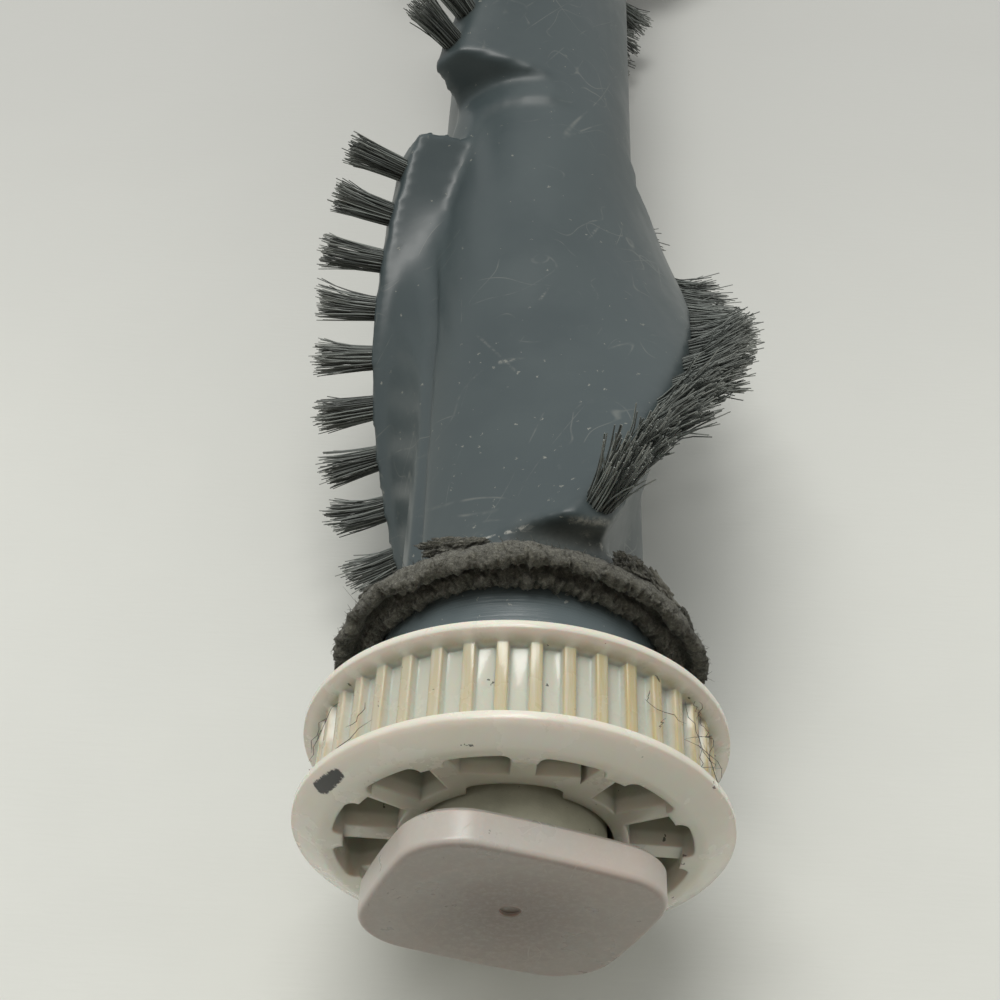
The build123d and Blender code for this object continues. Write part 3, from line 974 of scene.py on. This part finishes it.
@dataclass
class FeltRing:
    """Ragged felt seal in two torn layers, with loose fibres and rolls of lint."""

    end: RollerEnd
    steps: int = 540
    grain: float = 0.24 * MM
    fibres: int = 4200
    fibre_radius: float = 0.024 * MM
    fibre_foot: float = 0.3 * MM
    fibre_curl: float = 0.4
    long_every: int = 60
    long_fibre: tuple[float, float] = (1.2, 2.8)
    short_fibre: tuple[float, float] = (0.2, 0.6)
    depth: float = 0.72
    lumps: tuple[Lump, ...] = (
        Lump(112.0, 3.4 * MM, 1.0 * MM), Lump(52.0, 2.0 * MM, 1.1 * MM), Lump(38.0, 3.0 * MM, 0.8 * MM),
        Lump(152.0, 1.6 * MM, 0.7 * MM), Lump(203.0, 1.8 * MM, 0.8 * MM), Lump(17.0, 1.8 * MM, 0.9 * MM),
    )

    @property
    def node(self) -> str:
        """Name of the CAD node that the ring stands for."""
        return f"{self.end.name.lower()}_felt_seal"

    @property
    def base(self) -> float:
        """Place along Y of the ring's side against the collar."""
        low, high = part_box(self.node)
        return high.y if self.end is RollerEnd.BELT else low.y

    def _profile(self) -> list[tuple[float, float]]:
        """Section of the ring as radius and distance out from its collar, in metres, in short steps."""
        low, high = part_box(self.node)
        outer = (high.x - low.x) / 2
        thick = (high.y - low.y) * self.depth
        inner = min(off_axis(v.co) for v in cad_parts[self.node].data.vertices)
        width = outer - inner
        shares = (
            (0.00, 0.00), (0.30, -0.02), (0.62, 0.02), (0.76, 0.14), (0.88, 0.34), (0.96, 0.54), (1.00, 0.76),
            (0.97, 0.90), (0.88, 0.95), (0.76, 0.93), (0.68, 0.80), (0.62, 0.60), (0.54, 0.46), (0.46, 0.56),
            (0.42, 0.76), (0.36, 0.98), (0.24, 1.00), (0.12, 0.96), (0.02, 0.84), (0.00, 0.60), (0.00, 0.30),
        )
        corners = [(inner + width * across, thick * along) for across, along in shares]
        section = []
        for here, after in zip(corners, corners[1:] + corners[:1]):
            count = max(1, round(math.dist(here, after) / self.grain))
            for part in range(count):
                section.append(tuple(h + (a - h) * part / count for h, a in zip(here, after)))
        return section

    def _ragged(self, point: Vector, inner: float, base: float) -> Vector:
        """Move one point of the ring as matted and torn felt would lie.

        Args:
            point: Point of the smooth ring.
            inner: Bore of the ring.
            base: Place along Y of the ring's side against the collar.

        Returns:
            The moved point.
        """
        away = Vector((point.x, 0.0, point.z))
        outward = away.normalized()
        out = self.end.value
        loose = min(1.0, max(0.0, (away.length - inner) / (1.2 * MM)))
        front = min(1.0, max(0.0, ((point.y - base) * out - 1.7 * MM) / (1.4 * MM)))
        slow = noise.fractal(point * 140, 0.9, 2.0, 3)
        fine = noise.fractal(point * 1000 + Vector((7.0, 0.0, 0.0)), 0.5, 2.2, 5)
        torn = noise.fractal(outward * 14 + Vector((0.0, away.length * 260, 0.0)), 0.4, 2.3, 5)
        crumb = noise.turbulence(point * 1500, 3, True) - 0.8
        flap = noise.noise(outward * 2.6 + Vector((0.0, 3.0, 0.0)))
        swell = loose * (0.35 * slow + (0.2 + 0.22 * front) * fine + 0.35 * flap + 0.14 * crumb)
        moved = point + outward * swell * MM
        moved.y += out * front * (0.55 * torn + 0.2 * fine - 0.1) * MM + loose * 0.3 * slow * MM
        return moved

    def _ring_mesh(self) -> bpy.types.Mesh:
        """Spin the section round the axis and ruffle it.

        Returns:
            The ring's mesh.
        """
        bm = bmesh.new()
        base = self.base
        out = self.end.value
        section = [bm.verts.new((radius, base + out * along, 0.0)) for radius, along in self._profile()]
        edges = [bm.edges.new((section[i - 1], section[i])) for i in range(len(section))]
        bmesh.ops.spin(bm, geom=section + edges, cent=(0, 0, 0), axis=(0, 1, 0), angle=2 * math.pi,
                       steps=self.steps, use_merge=True, use_duplicate=False)
        bmesh.ops.remove_doubles(bm, verts=bm.verts, dist=MERGE)
        inner = min(off_axis(v.co) for v in bm.verts)
        for vert in bm.verts:
            vert.co = self._ragged(vert.co, inner, base)
        bmesh.ops.recalc_face_normals(bm, faces=bm.faces)
        return mesh_from(bm, self.node)

    def _fibre_threads(self, ring: bpy.types.Mesh, luck: random.Random) -> list[Thread]:
        """Loose fibres that stand out of the ring, most of them short.

        Args:
            ring: Finished mesh of the ring.
            luck: Seeded random numbers.

        Returns:
            The fibres' strands.
        """
        inner = min(off_axis(v.co) for v in ring.vertices)
        free = [v for v in ring.vertices if off_axis(v.co) > inner + self.fibre_foot]
        threads = []
        for number in range(self.fibres):
            foot = free[luck.randrange(len(free))]
            heading = (foot.normal * 0.6 + scatter(luck, 0.8)).normalized()
            curl = scatter(luck, 1.0) * self.fibre_curl
            span = self.long_fibre if number % self.long_every == 0 else self.short_fibre
            length = luck.uniform(*span) * MM
            points = [foot.co + heading * length * t + curl * length * t * t for t in (0, 0.5, 1)]
            threads.append(Thread(points, [1.0, 0.8, 0.4]))
        return threads

    def _lint(self) -> bpy.types.Mesh:
        """Rolls of lint that lie along the ring's collar side.

        Returns:
            One mesh with all the rolls.
        """
        low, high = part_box(self.node)
        reach = (high.x - low.x) / 2
        bm = bmesh.new()
        for number, lump in enumerate(self.lumps):
            angle = math.radians(lump.angle)
            centre = around(angle, reach * 0.9, self.base - self.end.value * 0.4 * MM)
            tangent = Vector((-math.sin(angle), 0.25, math.cos(angle))).normalized()
            made = bmesh.ops.create_icosphere(bm, subdivisions=5, radius=1.0)
            for vert in made["verts"]:
                rough = noise.fractal(vert.co * 2.2 + Vector((number * 3.0, 0.0, 0.0)), 0.7, 2.2, 5)
                vert.co *= 1 + 0.45 * rough
                drawn_out = tangent * vert.co.dot(tangent) * (lump.length - lump.thick)
                vert.co = vert.co * lump.thick + drawn_out + centre
        return mesh_from(bm, f"{self.node}_lint")

    def build(self, felt: bpy.types.Material) -> list[bpy.types.Object]:
        """Make the seal, its fibres and its lint.

        Args:
            felt: Material of the felt.

        Returns:
            The finished pieces.
        """
        luck = random.Random(f"felt {self.node}")
        name = self.end.name.lower()
        ring = self._ring_mesh()
        threads = self._fibre_threads(ring, luck)
        seal = new_object(f"{name}_ragged_felt", ring, felt)
        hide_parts(self.node)
        strands = threads_mesh(f"{self.node}_fibres", threads, self.fibre_radius)
        fuzz = new_object(f"{name}_felt_fibres", strands, felt)
        lint = new_object(f"{name}_felt_lint", self._lint(), felt)
        for piece in (seal, fuzz, lint):
            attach(piece, Body.ROLLER.value)
        return [seal, fuzz, lint]


@dataclass
class EasedPart:
    """A CAD node shown with its sharp edges rounded."""

    node: str
    body: Body
    slot: str
    offset: float = 0.16 * MM
    sharp: float = math.radians(24.0)
    flat: float = math.radians(0.6)

    def build(self, finish: bpy.types.Material) -> bpy.types.Object:
        """Copy the node's mesh, join it and round its edges.

        Args:
            finish: Material of the piece.

        Returns:
            The finished piece.
        """
        bm = joined_copy(self.node)
        bmesh.ops.dissolve_limit(bm, angle_limit=self.flat, verts=bm.verts, edges=bm.edges)
        edges = [e for e in bm.edges if e.is_manifold and e.calc_face_angle(0.0) > self.sharp]
        bmesh.ops.bevel(bm, geom=edges, offset=self.offset, offset_type="OFFSET", affect="EDGES", segments=2,
                        profile=0.5, material=-1, clamp_overlap=True, loop_slide=True)
        bmesh.ops.triangulate(bm, faces=[f for f in bm.faces if len(f.verts) > 4])
        piece = new_object(f"eased_{self.node}", mesh_from(bm, f"eased_{self.node}"), finish)
        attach(piece, self.body.value)
        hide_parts(self.node)
        return piece


@dataclass(frozen=True)
class Fade:
    """A place on the barrel that runs out softly: along Y and round the axis, with its reach each way."""

    y: float
    angle: float
    reach: float = 15.0 * MM
    sweep: float = math.radians(16.0)
    below: float = 17.6 * MM
    soft: float = 1.6 * MM

    def weight(self, point: Vector) -> float:
        """How much a point belongs to this place, from 0 to 1."""
        distance = off_axis(point)
        turn = math.remainder(math.atan2(point.z, point.x) - self.angle, math.tau)
        near = 1.0 - ((point.y - self.y) / self.reach) ** 2 - (turn / self.sweep) ** 2
        return max(0.0, near) * min(1.0, max(0.0, (self.below - distance) / self.soft))


@dataclass
class WornBarrel:
    """The barrel with its edges worn round, and its webs run out into the ribs."""

    rows: list[BristleRow]
    node: str = "roller_barrel"
    grid: float = 0.68 * MM
    passes: int = 2
    fade_passes: int = 60
    web_angle: float = math.radians(159.0)
    belt_web_end: float = -59.0 * MM
    idle_web_end: float = 72.6 * MM
    plug_radius: float = 1.8 * MM
    plug_foot: float = 11.0 * MM
    belt_start: float = -107.7 * MM
    idle_start: float = 121.3 * MM
    line_angle: float = math.radians(149.0)
    line_turn: float = math.radians(0.175) / MM
    groove_length: float = 57.0 * MM
    groove_taper: float = 12.0 * MM
    groove_half_width: float = 1.6 * MM
    groove_depth: float = 0.85 * MM
    groove_from: float = 10.5 * MM
    groove_to: float = 16.0 * MM

    def _fades(self) -> list[Fade]:
        """Where the four webs end."""
        angles = (self.web_angle, self.web_angle + math.pi)
        return [Fade(y, angle) for y in (self.belt_web_end, self.idle_web_end) for angle in angles]

    def _plug(self, bm: bmesh.types.BMesh, tuft: Tuft, crest: float) -> None:
        """Fill the hole of one tuft, so that the crest stays whole when it is smoothed.

        Args:
            bm: Mesh that gets the plug.
            tuft: Tuft that stands in the hole.
            crest: Distance of the crest from the axis.
        """
        middle = tuft.outward * (self.plug_foot + crest) / 2 + Vector((0.0, tuft.y, 0.0))
        turn = tuft.outward.to_track_quat("Z", "Y").to_matrix().to_4x4()
        bmesh.ops.create_cone(
            bm, cap_ends=True, segments=12, radius1=self.plug_radius, radius2=self.plug_radius,
            depth=crest - self.plug_foot, matrix=Matrix.Translation(middle) @ turn,
        )

    def _groove(self, point: Vector) -> float:
        """Depth of the parting groove at a point of the barrel."""
        distance = off_axis(point)
        along = min(point.y - self.belt_start, self.idle_start - point.y)
        if not (0.0 < along < self.groove_length and self.groove_from < distance < self.groove_to):
            return 0.0
        line = self.line_angle + self.line_turn * along
        off = math.remainder(math.atan2(point.z, point.x) - line, math.pi) * distance
        across = max(0.0, 1.0 - (off / self.groove_half_width) ** 2)
        return self.groove_depth * across ** 2 * min(1.0, (self.groove_length - along) / self.groove_taper)

    def _even_mesh(self) -> bpy.types.Mesh:
        """Copy of the node's mesh in even, small faces.

        Returns:
            The copy's mesh.
        """
        bm = joined_copy(self.node)
        for row in self.rows:
            for tuft in row.tufts():
                self._plug(bm, tuft, row.crest)
        carrier = bpy.data.objects.new("even_carrier", mesh_from(bm, "even_carrier"))
        bpy.context.scene.collection.objects.link(carrier)
        remesh = carrier.modifiers.new("even", "REMESH")
        remesh.mode = "VOXEL"
        remesh.voxel_size = self.grid
        graph = bpy.context.evaluated_depsgraph_get()
        even = bpy.data.meshes.new_from_object(carrier.evaluated_get(graph))
        bpy.data.objects.remove(carrier)
        return even

    def build(self, finish: bpy.types.Material) -> bpy.types.Object:
        """Smooth the even copy, most of all where the webs end.

        Args:
            finish: Material of the barrel.

        Returns:
            The finished piece.
        """
        bm = bmesh.new()
        bm.from_mesh(self._even_mesh())
        for _ in range(self.passes):
            smooth(bm, bm.verts)
        fades = self._fades()
        weights = [(vert, max(fade.weight(vert.co) for fade in fades)) for vert in bm.verts]
        weights = [(vert, weight) for vert, weight in weights if weight > 0.0]
        for step in range(self.fade_passes):
            verts = [vert for vert, weight in weights if weight * self.fade_passes > step]
            smooth(bm, verts)
        for vert in bm.verts:
            vert.co -= Vector((vert.co.x, 0.0, vert.co.z)).normalized() * self._groove(vert.co)
        piece = new_object("worn_roller_barrel", mesh_from(bm, "worn_roller_barrel"), finish)
        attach(piece, Body.ROLLER.value)
        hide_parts(self.node)
        return piece


@dataclass
class StrayHairs:
    """Hairs caught between the pulley's flanges. Spreads are in degrees and millimetres."""

    count: int = 34
    radius: float = 0.03 * MM
    perches: tuple[float, ...] = (28.0, 38.0, 146.0, 250.0, 300.0)
    perch_spread: float = 9.0
    sweep_spread: float = 14.0
    tilt_spread: float = 2.2
    side_reach: float = 3.0
    lift_reach: float = 0.35
    sunk: float = 1.0 * MM
    shares: tuple[float, ...] = (0.6, 0.9, 1.0, 1.0, 1.0, 0.8, 0.3)

    def build(self, finish: bpy.types.Material) -> bpy.types.Object:
        """Make the hairs.

        Args:
            finish: Material of the hairs.

        Returns:
            The finished piece.
        """
        luck = random.Random("stray hairs")
        low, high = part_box("belt_pulley")
        rim = (high.x - low.x) / 2
        middle = (low.y + high.y) / 2
        threads = []
        for _ in range(self.count):
            centre = math.radians(luck.choice(self.perches) + luck.gauss(0, self.perch_spread))
            sweep = math.radians(luck.gauss(0, self.sweep_spread))
            tilt = luck.gauss(0, self.tilt_spread) * MM
            y = middle + luck.uniform(-self.side_reach, self.side_reach) * MM
            points = []
            for knot in range(len(self.shares)):
                share = knot / (len(self.shares) - 1) - 0.5
                lift = luck.uniform(-self.lift_reach, self.lift_reach) * MM
                points.append(around(centre + sweep * share, rim - self.sunk + lift, y + tilt * share))
            threads.append(Thread(points, list(self.shares)))
        piece = new_object("stray_hairs", threads_mesh("stray_hairs", threads, self.radius), finish)
        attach(piece, Body.ROLLER.value)
        return piece


@dataclass
class Studio:
    """Floor, light and camera."""

    floor_half: float = 1.6
    focal: float = 54.0
    sensor: float = 36.0
    eye: Point = (0.0, -0.1975, 0.1234)
    yaw: float = math.radians(-1.47)
    pitch: float = math.radians(48.97)
    roll: float = math.radians(1.01)
    sky: float = 0.74
    near_tint: Colour = (0.26, 0.23, 0.19)
    far_tint: Colour = (0.90, 0.92, 0.91)
    lamp_power: float = 4.3
    lamp_place: Point = (-0.13, 0.09, 0.80)
    lamp_target: Point = (0.0, -0.08, 0.0)
    lamp_size: tuple[float, float] = (0.60, 0.30)
    lamp_colour: Colour = (1.0, 0.985, 0.95)
    sky_turn: tuple[float, float] = (-0.75, 0.35)
    clip: tuple[float, float] = (0.005, 20.0)

    def floor(self, finish: bpy.types.Material) -> bpy.types.Object:
        """Lay the sheet under the roller.

        Args:
            finish: Material of the sheet.

        Returns:
            The floor.
        """
        bm = bmesh.new()
        bmesh.ops.create_grid(bm, x_segments=8, y_segments=8, size=self.floor_half)
        bmesh.ops.translate(bm, verts=bm.verts, vec=(0.0, 0.0, CAD_BOX[0].z))
        made = new_object("floor", mesh_from(bm, "floor"), finish)
        return made

    def light(self) -> None:
        """Soft light from above and behind, with a weak even sky."""
        scene = bpy.context.scene
        scene.world = bpy.data.worlds.new("soft_sky")
        scene.world.use_nodes = True
        sky = Shading(scene.world.node_tree)
        heading = sky.node("SeparateXYZ", {0: sky.node("TexCoord").outputs["Generated"]})
        far = sky.span(heading.outputs[1], *self.sky_turn)
        background = scene.world.node_tree.nodes["Background"]
        sky.tree.links.new(sky.blend(far, self.near_tint, self.far_tint), background.inputs["Color"])
        background.inputs["Strength"].default_value = self.sky
        lamp = bpy.data.lights.new("ceiling_lamp", "AREA")
        lamp.shape = "RECTANGLE"
        lamp.size, lamp.size_y = self.lamp_size
        lamp.energy = self.lamp_power
        lamp.color = self.lamp_colour
        holder = bpy.data.objects.new("ceiling_lamp", lamp)
        holder.location = self.lamp_place
        aim = Vector(self.lamp_target) - Vector(self.lamp_place)
        holder.rotation_euler = aim.to_track_quat("-Z", "Y").to_euler()
        scene.collection.objects.link(holder)

    def camera(self) -> None:
        """Look down at the belt end as the photograph does."""
        ahead = Vector((math.sin(self.yaw) * math.cos(self.pitch), math.cos(self.yaw) * math.cos(self.pitch),
                        -math.sin(self.pitch)))
        level = Vector((math.cos(self.yaw), -math.sin(self.yaw), 0.0))
        up = level.cross(ahead)
        right = level * math.cos(self.roll) + up * math.sin(self.roll)
        top = up * math.cos(self.roll) - level * math.sin(self.roll)
        data = bpy.data.cameras.new("camera")
        data.lens = self.focal
        data.sensor_width = self.sensor
        data.clip_start, data.clip_end = self.clip
        holder = bpy.data.objects.new("camera", data)
        turn = Matrix((right, top, -ahead)).transposed().to_4x4()
        holder.matrix_world = Matrix.Translation(Vector(self.eye)) @ turn
        bpy.context.scene.collection.objects.link(holder)
        bpy.context.scene.camera = holder


STEEL = MetalFinish(
    "shaft_steel", (0.52, 0.52, 0.50), (0.30, 0.29, 0.27), (0.4, 6.0, 0.4), (0.28, 0.45), 0.01 * MM
)
CLIP = MetalFinish(
    "clip_steel", (0.42, 0.42, 0.41), (0.20, 0.19, 0.18), (3.0, 3.0, 3.0), (0.30, 0.50), 0.01 * MM
)
BRONZE = MetalFinish(
    "bush_bronze", (0.45, 0.29, 0.13), (0.22, 0.15, 0.08), (7.0, 7.0, 7.0), (0.40, 0.60), 0.03 * MM
)
WIRE = MetalFinish(
    "anchor_wire", (0.55, 0.53, 0.48), (0.25, 0.23, 0.20), (5.0, 5.0, 5.0), (0.35, 0.55), 0.01 * MM
)
FRAY = {Rib.A: 0.35, Rib.B: 0.75}


def dress(nodes: list[str], finish: bpy.types.Material) -> None:
    """Give CAD nodes a finish.

    Args:
        nodes: Names of the nodes.
        finish: Their material.
    """
    for name in nodes:
        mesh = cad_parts[name].data
        mesh.materials.clear()
        mesh.materials.append(finish)
        LOG.info("dressed %s with %s", name, finish.name)


def crest_distance() -> float:
    """Distance of the ribs' crests from the axis, read from the barrel."""
    return max(off_axis(v.co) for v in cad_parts["roller_barrel"].data.vertices)


def pair(piece: str) -> list[str]:
    """Names of a piece's nodes at both ends."""
    return [f"{end.name.lower()}_{piece}" for end in RollerEnd]


def main() -> None:
    """Build every piece in order, then the floor, light and camera."""
    logging.basicConfig(level=logging.INFO, format="%(message)s")
    bpy.context.scene.view_settings.view_transform = "Standard"
    effects = Effects()
    crest = crest_distance()
    rows = [BristleRow(stretch, rib, crest, FRAY[rib]) for stretch in Stretch for rib in Rib]
    dress(["shaft"] + pair("thrust_washer"), STEEL.material(effects))
    dress(pair("retaining_clip"), CLIP.material(effects))
    dress(pair("bearing_bush"), BRONZE.material(effects))
    dress([row.anchors for row in rows], WIRE.material(effects))
    dress(pair("bearing_holder"), HolderPlastic().material(effects))
    dress(pair("end_cap"), CapMoulding().material(effects))
    pieces = [
        WornBarrel(rows).build(BarrelPlastic().material(effects)),
        EasedPart("belt_pulley", Body.ROLLER, "pulley_plastic").build(PulleyPlastic().material(effects)),
    ]
    nylon = BristleNylon().material(effects)
    pieces += [row.build(nylon) for row in rows]
    felt = SealFelt().material(effects)
    for end in RollerEnd:
        pieces += FeltRing(end).build(felt)
    pieces.append(StrayHairs().build(HairFinish().material(effects)))
    for piece in pieces:
        LOG.info("built %s: %d faces", piece.name, len(piece.data.polygons))
    studio = Studio()
    studio.floor(FloorSheet().material(effects))
    studio.light()
    studio.camera()


if __name__ == "__main__":
    main()
